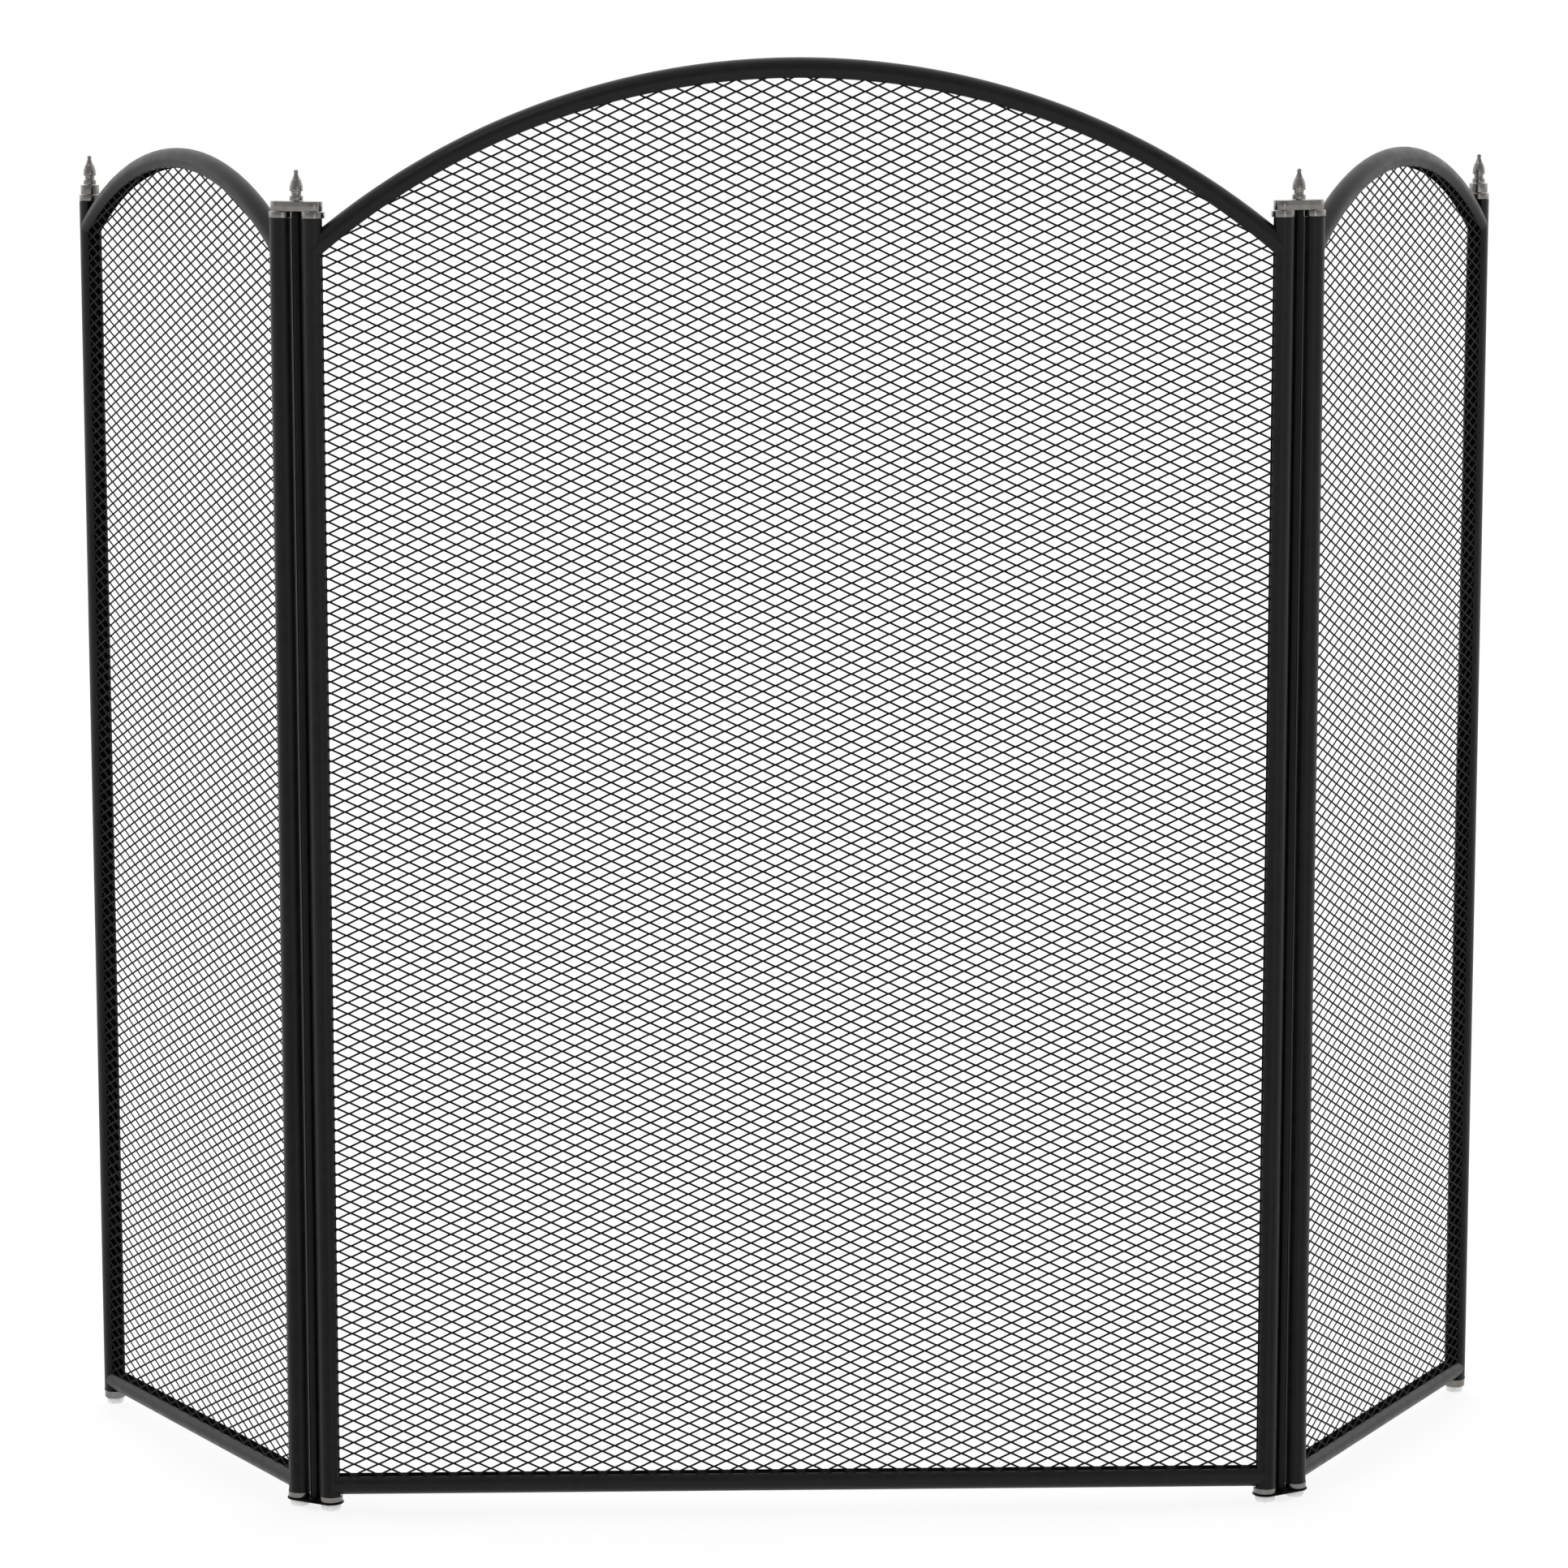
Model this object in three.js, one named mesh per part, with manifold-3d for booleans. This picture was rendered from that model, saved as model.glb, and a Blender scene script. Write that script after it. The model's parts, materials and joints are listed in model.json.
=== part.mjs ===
// A free-standing fireplace screen: an arched centre panel with an arched wing on each side.
// Every panel is a frame of half-inch tube, flattened on the side that holds the expanded mesh.
// Double-pivot hinges join the wings: a link of block, rod and plate turns about the centre post,
// and the wing turns about the link's other end.
// Millimetres, +Z up, front facing -Y. The origin is on the floor under the middle of the screen.

import * as THREE from 'three';
import { mergeVertices } from 'three/addons/utils/BufferGeometryUtils.js';
import Module from 'manifold-3d';

const wasm = await Module();
wasm.setup();

// Tube, mesh and clearances.
const TUBE_RADIUS = 6.35;
const TUBE_FLAT = 4.9; // from the tube's axis to its flattened side
const TUBE_WALL = 1.2;
const MESH_OFFSET = 4.08; // the mesh lies this far in front of the tube axes
const MESH_THICKNESS = 0.3; // the open mesh's metal spread over its whole area
const GAP = 0.3; // left between pieces that touch

// Panels: widths are between post axes, apexes are heights of the arch tube's axis.
const CENTRE = { width: 534.2, archRadius: 412.2, apex: 813.4 };
const WING = { width: 253.5, archRadius: 203.7, apex: 760.4 };
const POST_BOTTOM = 8.35;
const POST_TOP = 732.1;
const RAIL_HEIGHT = 15;

// Hinges, as the screen stands with its wings folded back.
const LINK_LENGTH = 21.1;
const LINK_ANGLE = THREE.MathUtils.degToRad(30);
const WING_ANGLE = THREE.MathUtils.degToRad(60);
const BLOCK = { bottom: 736.1, top: 741.5, radius: 5.5, socket: 4.2 };
const PLATE = { bottom: 3.8, top: 4.5, radius: 7.25 };
const ROD_RADIUS = 2.9;
const ROD_HOLE_DEPTH = 10;

// Fittings in the post ends.
const SHANK_RADIUS = 1.5; // pivot pins, finial studs, glide stems and hinge screws
const HOLE_RADIUS = 1.85;
const PLUG_RADIUS = 3.3;
const PLUG_LENGTH = 10;
const COLLAR_RADIUS = 6.65;
const OUTER_COLLAR_RADIUS = 6.3;
const SPACER_RADIUS = 5.45;
const OUTER_FERRULE_BOTTOM = 3.65;
const FERRULE_CHAMFER = 0.6;
const GLIDE_RADIUS = 5.75;
const OUTER_GLIDE_RADIUS = 5.1;
const STEM_TOP = 16;
const PIN_LENGTH = 16;
const SCREW = { headBottom: 2.9, headRadius: 2.2, length: 9 };

// Finial: a turned bud shape, given as radius and height above its base.
const STUD_LENGTH = 14;
const FINIAL_PROFILE = [
  [3.7, 0],
  [3.7, 2.6],
  [2.75, 2.7],
  [2.75, 5.1],
  [3.65, 5.25],
  [3.65, 8],
  [2.6, 11.4],
  [2.15, 11.8],
  [1.1, 14.8],
  [1.3, 15.6],
  [0.85, 16.5],
  [0, 16.9],
];

// Facets round each kind of curve. An extruded outline's arcs get twice their curveSegments.
const TUBE_SEGMENTS = 8;
const ROUND_FACETS = 16;
const PIN_FACETS = 12;
const CENTRE_ARCH_STEPS = 24;
const WING_ARCH_STEPS = 16;

// Powder-coated frame, pewter fittings, zinc-plated pins and clear glides.
function finish(color, roughness, metalness) {
  return new THREE.MeshStandardMaterial({ color, roughness, metalness });
}

const graphitePaint = () => finish(0x252526, 0.4, 0.2);
const blackPaint = () => finish(0x141414, 0.5, 0.2);
const pewter = () => finish(0x8a857d, 0.35, 0.9);
const zincPlate = () => finish(0xa9abad, 0.3, 1);
const clearPlastic = () => finish(0xdfe0de, 0.3, 0);

// The centre panel's plane, set so that the bounding box is centred over the origin.
const wingReach = LINK_LENGTH * Math.sin(LINK_ANGLE) + WING.width * Math.sin(WING_ANGLE);
const frontReach = PLATE.radius;
const PANEL_Y = (frontReach - wingReach - TUBE_RADIUS) / 2;

function piece(name, geometry, material) {
  const mesh = new THREE.Mesh(geometry, material);
  mesh.name = name;
  return mesh;
}

function toSolid(geometry) {
  const bare = geometry.clone();
  bare.deleteAttribute('normal');
  bare.deleteAttribute('uv');
  const merged = mergeVertices(bare);
  return new wasm.Manifold(new wasm.Mesh({
    numProp: 3,
    vertProperties: merged.attributes.position.array,
    triVerts: Uint32Array.from(merged.index.array),
  }));
}

function toGeometry(solid) {
  const { vertProperties, triVerts } = solid.getMesh();
  const geometry = new THREE.BufferGeometry();
  geometry.setAttribute('position', new THREE.BufferAttribute(vertProperties, 3));
  geometry.setIndex(new THREE.BufferAttribute(triVerts, 1));
  geometry.computeVertexNormals();
  return geometry;
}

// A circle with one side cut flat, facing +Y.
function traceFlattenedCircle(path, radius, flat) {
  const halfOpening = Math.acos(flat / radius);
  path.absarc(0, 0, radius, Math.PI / 2 + halfOpening, 5 * Math.PI / 2 - halfOpening, false);
  path.closePath();
  return path;
}

function tubeSection() {
  const section = traceFlattenedCircle(new THREE.Shape(), TUBE_RADIUS, TUBE_FLAT);
  const bore = traceFlattenedCircle(new THREE.Path(), TUBE_RADIUS - TUBE_WALL, TUBE_FLAT - TUBE_WALL);
  section.holes.push(bore);
  return section;
}

function uprightPost(section, side) {
  const post = new THREE.ExtrudeGeometry(section, {
    depth: POST_TOP - POST_BOTTOM,
    curveSegments: TUBE_SEGMENTS,
    bevelEnabled: false,
  });
  // The flattened side faces the middle of the panel.
  post.rotateZ(side * Math.PI / 2);
  post.translate(0, 0, POST_BOTTOM);
  return post;
}

// The room that both posts take out of a rail or an arch, with the gap round them.
function postClearance(width) {
  const envelope = traceFlattenedCircle(new THREE.Shape(), TUBE_RADIUS + GAP, TUBE_FLAT + GAP);
  const left = toSolid(uprightPost(envelope, -1).translate(-width / 2, 0, 0));
  const right = toSolid(uprightPost(envelope, 1).translate(width / 2, 0, 0));
  return left.add(right);
}

// Trims a rail or an arch to the posts, with its ends shaped to their round sides.
function copeToPosts(geometry, width) {
  const between = new THREE.BoxGeometry(width, 4 * TUBE_RADIUS, 4 * CENTRE.apex);
  return toGeometry(toSolid(geometry).intersect(toSolid(between)).subtract(postClearance(width)));
}

function archCentre(panel) {
  return panel.apex - panel.archRadius;
}

// The arch tube's axis, from left to right and a little past both posts.
class ArchCurve extends THREE.Curve {
  constructor(panel) {
    super();
    this.panel = panel;
    this.halfAngle = Math.asin((panel.width / 2 + TUBE_RADIUS) / panel.archRadius);
  }

  getPoint(t, target = new THREE.Vector3()) {
    const angle = (2 * t - 1) * this.halfAngle;
    const radius = this.panel.archRadius;
    return target.set(radius * Math.sin(angle), 0, archCentre(this.panel) + radius * Math.cos(angle));
  }
}

function archTube(panel, steps) {
  const tube = new THREE.ExtrudeGeometry(tubeSection(), {
    extrudePath: new ArchCurve(panel),
    steps,
    curveSegments: TUBE_SEGMENTS,
    bevelEnabled: false,
  });
  return copeToPosts(tube, panel.width);
}

function bottomRail(panel) {
  const rail = new THREE.ExtrudeGeometry(tubeSection(), {
    depth: panel.width,
    curveSegments: TUBE_SEGMENTS,
    bevelEnabled: false,
  });
  // Turned to run along X with the flattened side up.
  rail.rotateX(Math.PI / 2);
  rail.rotateZ(Math.PI / 2);
  rail.translate(-panel.width / 2, 0, RAIL_HEIGHT);
  return copeToPosts(rail, panel.width);
}

// A plain sheet of the expanded mesh's outline.
function meshSheet(panel, steps) {
  const inset = TUBE_FLAT + GAP;
  const halfWidth = panel.width / 2 - inset;
  const radius = panel.archRadius - inset;
  const halfAngle = Math.asin(halfWidth / radius);
  const outline = new THREE.Shape();
  outline.moveTo(-halfWidth, RAIL_HEIGHT + inset);
  outline.lineTo(halfWidth, RAIL_HEIGHT + inset);
  outline.absarc(0, archCentre(panel), radius, Math.PI / 2 - halfAngle, Math.PI / 2 + halfAngle, false);
  outline.closePath();
  const sheet = new THREE.ExtrudeGeometry(outline, {
    depth: MESH_THICKNESS,
    curveSegments: steps / 2,
    bevelEnabled: false,
  });
  sheet.rotateX(Math.PI / 2);
  sheet.translate(0, MESH_THICKNESS / 2 - MESH_OFFSET, 0);
  return sheet;
}

// A turned piece about Z from radius and height pairs.
function turned(profile, facets) {
  const points = profile.map(([radius, height]) => new THREE.Vector2(radius, height));
  return new THREE.LatheGeometry(points, facets).rotateX(Math.PI / 2);
}

function shank(bottom, top) {
  const profile = [[0, bottom], [SHANK_RADIUS, bottom], [SHANK_RADIUS, top], [0, top]];
  return turned(profile, PIN_FACETS);
}

// A collar on top of a post, with a bored plug down inside the tube.
function topCollar(radius) {
  const bottom = POST_TOP + GAP;
  const top = BLOCK.bottom - GAP;
  const profile = [
    [HOLE_RADIUS, bottom - PLUG_LENGTH],
    [PLUG_RADIUS, bottom - PLUG_LENGTH],
    [PLUG_RADIUS, bottom],
    [radius, bottom],
    [radius, top],
    [HOLE_RADIUS, top],
    [HOLE_RADIUS, bottom - PLUG_LENGTH],
  ];
  return turned(profile, ROUND_FACETS);
}

// A ferrule under a post, with a bored plug up inside the tube.
function bottomFerrule(bottom, radius) {
  const top = POST_BOTTOM - GAP;
  const profile = [
    [HOLE_RADIUS, bottom],
    [radius - FERRULE_CHAMFER, bottom],
    [radius, bottom + FERRULE_CHAMFER],
    [radius, top],
    [PLUG_RADIUS, top],
    [PLUG_RADIUS, top + PLUG_LENGTH],
    [HOLE_RADIUS, top + PLUG_LENGTH],
    [HOLE_RADIUS, bottom],
  ];
  return turned(profile, ROUND_FACETS);
}

// A plastic foot with a stem that is pushed up into the ferrule.
function footGlide(radius, top) {
  const disc = [[0, 0], [radius, 0], [radius, top]];
  const profile = [...disc, [SHANK_RADIUS, top], [SHANK_RADIUS, STEM_TOP], [0, STEM_TOP]];
  return turned(profile, ROUND_FACETS);
}

function finial() {
  const stud = [[0, -STUD_LENGTH], [SHANK_RADIUS, -STUD_LENGTH], [SHANK_RADIUS, 0]];
  return turned([...stud, ...FINIAL_PROFILE], ROUND_FACETS).translate(0, 0, BLOCK.top + GAP);
}

// The disc between an outer post's collar and its finial, as thick as a hinge block.
function finialSpacer() {
  const profile = [
    [HOLE_RADIUS, BLOCK.bottom],
    [SPACER_RADIUS, BLOCK.bottom],
    [SPACER_RADIUS, BLOCK.top],
    [HOLE_RADIUS, BLOCK.top],
    [HOLE_RADIUS, BLOCK.bottom],
  ];
  return turned(profile, ROUND_FACETS);
}

// A slab with round ends over the two pivots, from the first pivot along +X.
function linkSlab(radius, bottom, top) {
  const outline = new THREE.Shape();
  outline.absarc(0, 0, radius, Math.PI / 2, 3 * Math.PI / 2, false);
  outline.absarc(LINK_LENGTH, 0, radius, -Math.PI / 2, Math.PI / 2, false);
  outline.closePath();
  const slab = new THREE.ExtrudeGeometry(outline, {
    depth: top - bottom,
    curveSegments: TUBE_SEGMENTS / 2,
    bevelEnabled: false,
  });
  return slab.translate(0, 0, bottom);
}

function drilled(geometry, holes) {
  let solid = toSolid(geometry);
  for (const { x, bottom, top } of holes) {
    const drill = new THREE.CylinderGeometry(HOLE_RADIUS, HOLE_RADIUS, top - bottom, PIN_FACETS);
    drill.rotateX(Math.PI / 2);
    drill.translate(x, 0, (bottom + top) / 2);
    solid = solid.subtract(toSolid(drill));
  }
  return toGeometry(solid);
}

// Both pivot sockets are blind, and the finial's stud goes right through the middle.
function hingeBlock() {
  const socketBottom = BLOCK.bottom - GAP;
  const socketTop = BLOCK.bottom + BLOCK.socket;
  return drilled(linkSlab(BLOCK.radius, BLOCK.bottom, BLOCK.top), [
    { x: 0, bottom: socketBottom, top: socketTop },
    { x: LINK_LENGTH / 2, bottom: socketBottom, top: BLOCK.top + GAP },
    { x: LINK_LENGTH, bottom: socketBottom, top: socketTop },
  ]);
}

function hingePlate() {
  const places = [0, LINK_LENGTH / 2, LINK_LENGTH];
  const holes = places.map((x) => ({ x, bottom: PLATE.bottom - GAP, top: PLATE.top + GAP }));
  return drilled(linkSlab(PLATE.radius, PLATE.bottom, PLATE.top), holes);
}

// The rod between plate and block, with a threaded hole in each end.
function hingeRod() {
  const bottom = PLATE.top + GAP;
  const top = BLOCK.bottom - GAP;
  const profile = [
    [0, bottom + ROD_HOLE_DEPTH],
    [HOLE_RADIUS, bottom + ROD_HOLE_DEPTH],
    [HOLE_RADIUS, bottom],
    [ROD_RADIUS, bottom],
    [ROD_RADIUS, top],
    [HOLE_RADIUS, top],
    [HOLE_RADIUS, top - ROD_HOLE_DEPTH],
    [0, top - ROD_HOLE_DEPTH],
  ];
  return turned(profile, PIN_FACETS);
}

function hingeScrew() {
  const headTop = PLATE.bottom - GAP;
  const profile = [
    [0, SCREW.headBottom],
    [SCREW.headRadius, SCREW.headBottom],
    [SCREW.headRadius, headTop],
    [SHANK_RADIUS, headTop],
    [SHANK_RADIUS, headTop + SCREW.length],
    [0, headTop + SCREW.length],
  ];
  return turned(profile, PIN_FACETS);
}

// The pieces at a post that a hinge turns about.
function addPivotFittings(group, name, x) {
  const ferruleBottom = PLATE.top + GAP;
  const pinTop = BLOCK.bottom + BLOCK.socket - GAP;
  const glideTop = PLATE.bottom - GAP;
  const fittings = [
    piece(`${name}_top_collar`, topCollar(COLLAR_RADIUS), pewter()),
    piece(`${name}_pivot_pin`, shank(pinTop - PIN_LENGTH, pinTop), zincPlate()),
    piece(`${name}_bottom_ferrule`, bottomFerrule(ferruleBottom, COLLAR_RADIUS), pewter()),
    piece(`${name}_foot_glide`, footGlide(GLIDE_RADIUS, glideTop), clearPlastic()),
  ];
  for (const fitting of fittings) {
    fitting.position.x = x;
    group.add(fitting);
  }
}

// The pieces at a wing's free post.
function addOuterFittings(group, name, x) {
  const fittings = [
    piece(`${name}_top_collar`, topCollar(OUTER_COLLAR_RADIUS), pewter()),
    piece(`${name}_spacer`, finialSpacer(), pewter()),
    piece(`${name}_finial`, finial(), pewter()),
    piece(`${name}_bottom_ferrule`, bottomFerrule(OUTER_FERRULE_BOTTOM, OUTER_COLLAR_RADIUS), pewter()),
    piece(`${name}_foot_glide`, footGlide(OUTER_GLIDE_RADIUS, OUTER_FERRULE_BOTTOM - GAP), clearPlastic()),
  ];
  for (const fitting of fittings) {
    fitting.position.x = x;
    group.add(fitting);
  }
}

// Frame and mesh of one panel, centred between its posts, which are named from -X to +X.
function makePanel(name, panel, steps, postNames) {
  const group = new THREE.Group();
  postNames.forEach((postName, index) => {
    const side = index === 0 ? -1 : 1;
    const post = piece(`${postName}_post`, uprightPost(tubeSection(), side), graphitePaint());
    post.position.x = side * panel.width / 2;
    group.add(post);
  });
  group.add(piece(`${name}_arch_tube`, archTube(panel, steps), graphitePaint()));
  group.add(piece(`${name}_bottom_rail`, bottomRail(panel), graphitePaint()));
  group.add(piece(`${name}_mesh`, meshSheet(panel, steps), graphitePaint()));
  return group;
}

function makeCentrePanel() {
  const postNames = ['centre_left', 'centre_right'];
  const group = makePanel('centre', CENTRE, CENTRE_ARCH_STEPS, postNames);
  addPivotFittings(group, 'centre_left', -CENTRE.width / 2);
  addPivotFittings(group, 'centre_right', CENTRE.width / 2);
  group.position.y = PANEL_Y;
  return group;
}

// The link of one hinge, from the centre post's axis along +X to the wing post's axis.
function makeLink(sideName) {
  const group = new THREE.Group();
  const rod = piece(`${sideName}_hinge_rod`, hingeRod(), blackPaint());
  const topFinial = piece(`${sideName}_hinge_finial`, finial(), pewter());
  const screw = piece(`${sideName}_hinge_screw`, hingeScrew(), zincPlate());
  for (const middlePiece of [rod, topFinial, screw]) {
    middlePiece.position.x = LINK_LENGTH / 2;
    group.add(middlePiece);
  }
  group.add(piece(`${sideName}_hinge_block`, hingeBlock(), pewter()));
  group.add(piece(`${sideName}_hinge_plate`, hingePlate(), blackPaint()));
  return group;
}

// A link and its wing; side is -1 on the left and 1 on the right.
function addWing(root, sideName, side) {
  const innerName = `${sideName}_wing_inner`;
  const outerName = `${sideName}_wing_outer`;
  const linkX = side * CENTRE.width / 2;
  const link = makeLink(sideName);
  link.position.set(linkX, PANEL_Y, 0);
  link.rotation.z = side > 0 ? LINK_ANGLE : Math.PI - LINK_ANGLE;
  root.add(link);

  const postNames = side > 0 ? [innerName, outerName] : [outerName, innerName];
  const wing = makePanel(`${sideName}_wing`, WING, WING_ARCH_STEPS, postNames);
  addPivotFittings(wing, innerName, -side * WING.width / 2);
  addOuterFittings(wing, outerName, side * WING.width / 2);
  const innerX = linkX + side * LINK_LENGTH * Math.cos(LINK_ANGLE);
  const innerY = PANEL_Y + LINK_LENGTH * Math.sin(LINK_ANGLE);
  wing.position.set(
    innerX + side * WING.width / 2 * Math.cos(WING_ANGLE),
    innerY + WING.width / 2 * Math.sin(WING_ANGLE),
    0,
  );
  wing.rotation.z = side * WING_ANGLE;
  root.add(wing);
}

const screen = new THREE.Group();
screen.add(makeCentrePanel());
addWing(screen, 'left', -1);
addWing(screen, 'right', 1);

export default screen;
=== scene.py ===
"""A free-standing fireplace screen in graphite paint, with pewter fittings and expanded metal mesh.

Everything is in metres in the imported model's frame: the front faces -Y, +Z is up and the floor is z = 0.
Left and right are as seen from the front.
"""

import json
import math

import bmesh
import bpy
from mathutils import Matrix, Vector


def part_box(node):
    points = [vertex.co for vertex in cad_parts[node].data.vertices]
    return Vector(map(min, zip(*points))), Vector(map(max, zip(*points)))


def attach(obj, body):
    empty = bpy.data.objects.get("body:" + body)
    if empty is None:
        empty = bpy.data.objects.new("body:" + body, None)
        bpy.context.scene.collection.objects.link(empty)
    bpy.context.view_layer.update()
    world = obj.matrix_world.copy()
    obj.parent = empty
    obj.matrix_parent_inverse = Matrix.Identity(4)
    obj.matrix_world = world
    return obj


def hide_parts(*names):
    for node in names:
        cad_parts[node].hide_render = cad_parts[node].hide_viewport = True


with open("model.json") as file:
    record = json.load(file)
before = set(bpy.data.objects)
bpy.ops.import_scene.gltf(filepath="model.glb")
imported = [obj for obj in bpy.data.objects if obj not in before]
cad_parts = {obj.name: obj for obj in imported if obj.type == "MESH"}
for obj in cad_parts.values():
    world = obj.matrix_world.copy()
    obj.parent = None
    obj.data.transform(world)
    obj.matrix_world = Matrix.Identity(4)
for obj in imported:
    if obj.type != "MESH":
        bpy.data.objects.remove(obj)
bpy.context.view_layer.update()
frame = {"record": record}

MM = 0.001

# Frame tube: round, with one side flattened towards the mesh.
TUBE_RADIUS = 6.35 * MM
TUBE_FLAT = 4.9 * MM
TUBE_CORNER = 0.7 * MM
TUBE_SEGMENTS = 56
POST_FLARE = 1.04  # at the cut bottom end, straight and then tapering back to the tube
FLARE_STRAIGHT = 0.4 * MM
FLARE_LENGTH = 0.8 * MM
CENTRE_ARCH_RADIUS = 412.2 * MM
WING_ARCH_RADIUS = 203.7 * MM
ARCH_STEPS = 96

# Expanded metal mesh: half the diamond's width and height, and its strands.
MESH_OFFSET = 4.08 * MM
DIAMOND_HALF_WIDTH = 7.064 * MM
DIAMOND_HALF_HEIGHT = 3.185 * MM
BOND_HALF_LENGTH = 0.25 * MM
CROTCH = 1.45 * MM
BOND_HALF_HEIGHT = 0.6 * MM
STRAND_THICKNESS = 0.25 * MM
MESH_EMBED = 0.6 * MM
HALVINGS = 12  # of a strand, to find where it enters the frame
SHORTEST_STUB = 0.04  # of a whole strand, where the frame cuts it off
CENTRE_MESH_SPLIT = 0.41  # the height where the centre mesh is divided into two pieces
TOP_LEVEL = 1.0  # above everything

# Fittings, in mm as their outlines are. Heights are from the floor.
TURNED_SIDES = 64
CORNER_STEPS = 4
CORE_RADIUS = 0.4  # of the flat ends of a piece without a bore
HOLE_RADIUS = 1.85
SHANK_RADIUS = 1.5
PLUG_RADIUS = 3.3
FINE_EDGE = 0.2
SHANK_EDGE = 0.3
SOFT_EDGE = 0.4
FERRULE_EDGE = 0.6
GLIDE_EDGE = 0.9
COLLAR_RADIUS = 6.65
OUTER_COLLAR_RADIUS = 6.3
COLLAR_BOTTOM = 732.4
COLLAR_TOP = 735.8
COLLAR_PLUG_BOTTOM = 722.4
FERRULE_BOTTOM = 4.8
OUTER_FERRULE_BOTTOM = 3.65
FERRULE_TOP = 8.05
FERRULE_PLUG_TOP = 18.05
GLIDE_RADIUS = 5.75
GLIDE_TOP = 3.5
OUTER_GLIDE_RADIUS = 5.1
OUTER_GLIDE_TOP = 3.35
GLIDE_STEM_TOP = 16
PIN_BOTTOM = 724.0
PIN_TOP = 740.0
BLOCK_RADIUS = 5.5
BLOCK_BOTTOM = 736.1
BLOCK_TOP = 741.5
BLOCK_EDGE = 0.35
BLOCK_DRILL = (735.0, 743.0)  # the ends of a through hole's drill, past both faces
SOCKET_TOP = 740.3  # of the pins' blind holes in the block
SPACER_RADIUS = 5.45
PLATE_RADIUS = 7.25
PLATE_BOTTOM = 3.8
PLATE_TOP = 4.5
PLATE_EDGE = 0.15
PLATE_DRILL = (3.0, 5.0)
ROD_RADIUS = 2.9
ROD_BOTTOM = 4.8
ROD_TOP = 735.8
ROD_HOLE_DEPTH = 10.0
SCREW_RADIUS = 2.2
SCREW_BOTTOM = 2.9
SCREW_HEAD_TOP = 3.5
SCREW_TIP = 12.5
FINIAL_BASE = 741.8
STUD_LENGTH = 14

# The finial's outline above its base: radius, height and how much each corner is rounded.
FINIAL_SHAPE = [
    (3.7, 0, 0.2),
    (3.7, 2.6, 0.3),
    (2.75, 2.65, 0.1),
    (2.75, 5.15, 0.1),
    (3.62, 5.2, 0.2),
    (3.66, 6.2, 0.3),
    (3.58, 8.1, 0.6),
    (2.62, 11.35, 0.1),
    (2.3, 11.45, 0.05),
    (2.2, 11.65, 0.1),
    (1.0, 14.9, 0.1),
    (1.27, 15.3, 0.3),
    (1.27, 15.95, 0.3),
    (0.9, 16.65, 0.3),
    (0.2, 16.9, 0),
]

# Edges sharper than this many degrees stay sharp.
SMOOTH_ANGLE = 35
STRAND_SMOOTH_ANGLE = 30

# Where one of the mesh's bonds lies in each panel, from the panel's middle and the floor.
MESH_PHASE = {
    "centre": (0.6 * MM, 454.0 * MM),
    "left_wing": (18.9 * MM, 434.7 * MM),
    "right_wing": (8.7 * MM, 428.6 * MM),
}

# How bright the studio's walls are, from in front of the screen (0) to behind it (1).
WALL_LIGHT = [(0.0, 0.46), (0.2, 0.6), (0.33, 0.75), (0.46, 1.25), (0.6, 1.5), (0.8, 1.8), (1.0, 1.2)]
WALL_BRIGHTEST = 1.8
FLOOR_SIZE = 30
FLOOR_GLOW = 0.78

# The camera's place and the way it looks.
CAMERA_PLACE = (-0.0919, -3.0045, 0.8661)
CAMERA_YAW = math.radians(1.809)
CAMERA_PITCH = math.radians(9.023)
CAMERA_LENS = 120.05
CAMERA_SENSOR = 36
CAMERA_CLIP = 100
CAMERA_SHIFT = (-0.0091, 0.0113)

joint_place = {j["name"]: Vector(j["pos_m"]) for j in frame["record"]["behaviour"]["joints"]}
mount_place = {m["name"]: Vector(m["pos_m"]) for m in frame["record"]["mounts"]}
UP = Vector((0, 0, 1))


# ---- Materials ----

def new_material(name):
    material = bpy.data.materials.new(name)
    material.use_nodes = True
    nodes = material.node_tree.nodes
    return material, nodes, material.node_tree.links, nodes["Principled BSDF"]


def add_noise(nodes, links, scale, detail, stretch=(1, 1, 1)):
    place = nodes.new("ShaderNodeTexCoord")
    mapping = nodes.new("ShaderNodeMapping")
    mapping.inputs["Scale"].default_value = stretch
    noise = nodes.new("ShaderNodeTexNoise")
    noise.inputs["Scale"].default_value = scale
    noise.inputs["Detail"].default_value = detail
    links.new(place.outputs["Object"], mapping.inputs["Vector"])
    links.new(mapping.outputs["Vector"], noise.inputs["Vector"])
    return noise.outputs["Fac"]


def add_ramp(nodes, links, source, low, high, start=0.35, end=0.65):
    ramp = nodes.new("ShaderNodeValToRGB")
    ramp.color_ramp.elements[0].position = start
    ramp.color_ramp.elements[0].color = low
    ramp.color_ramp.elements[1].position = end
    ramp.color_ramp.elements[1].color = high
    links.new(source, ramp.inputs["Fac"])
    return ramp.outputs["Color"]


def add_range(nodes, links, source, low, high):
    spread = nodes.new("ShaderNodeMapRange")
    spread.inputs["From Min"].default_value = 0.3
    spread.inputs["From Max"].default_value = 0.7
    spread.inputs["To Min"].default_value = low
    spread.inputs["To Max"].default_value = high
    links.new(source, spread.inputs["Value"])
    return spread.outputs["Result"]


def add_bump(nodes, links, source, shader, strength, distance):
    bump = nodes.new("ShaderNodeBump")
    bump.inputs["Strength"].default_value = strength
    bump.inputs["Distance"].default_value = distance
    links.new(source, bump.inputs["Height"])
    links.new(bump.outputs["Normal"], shader.inputs["Normal"])


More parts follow.
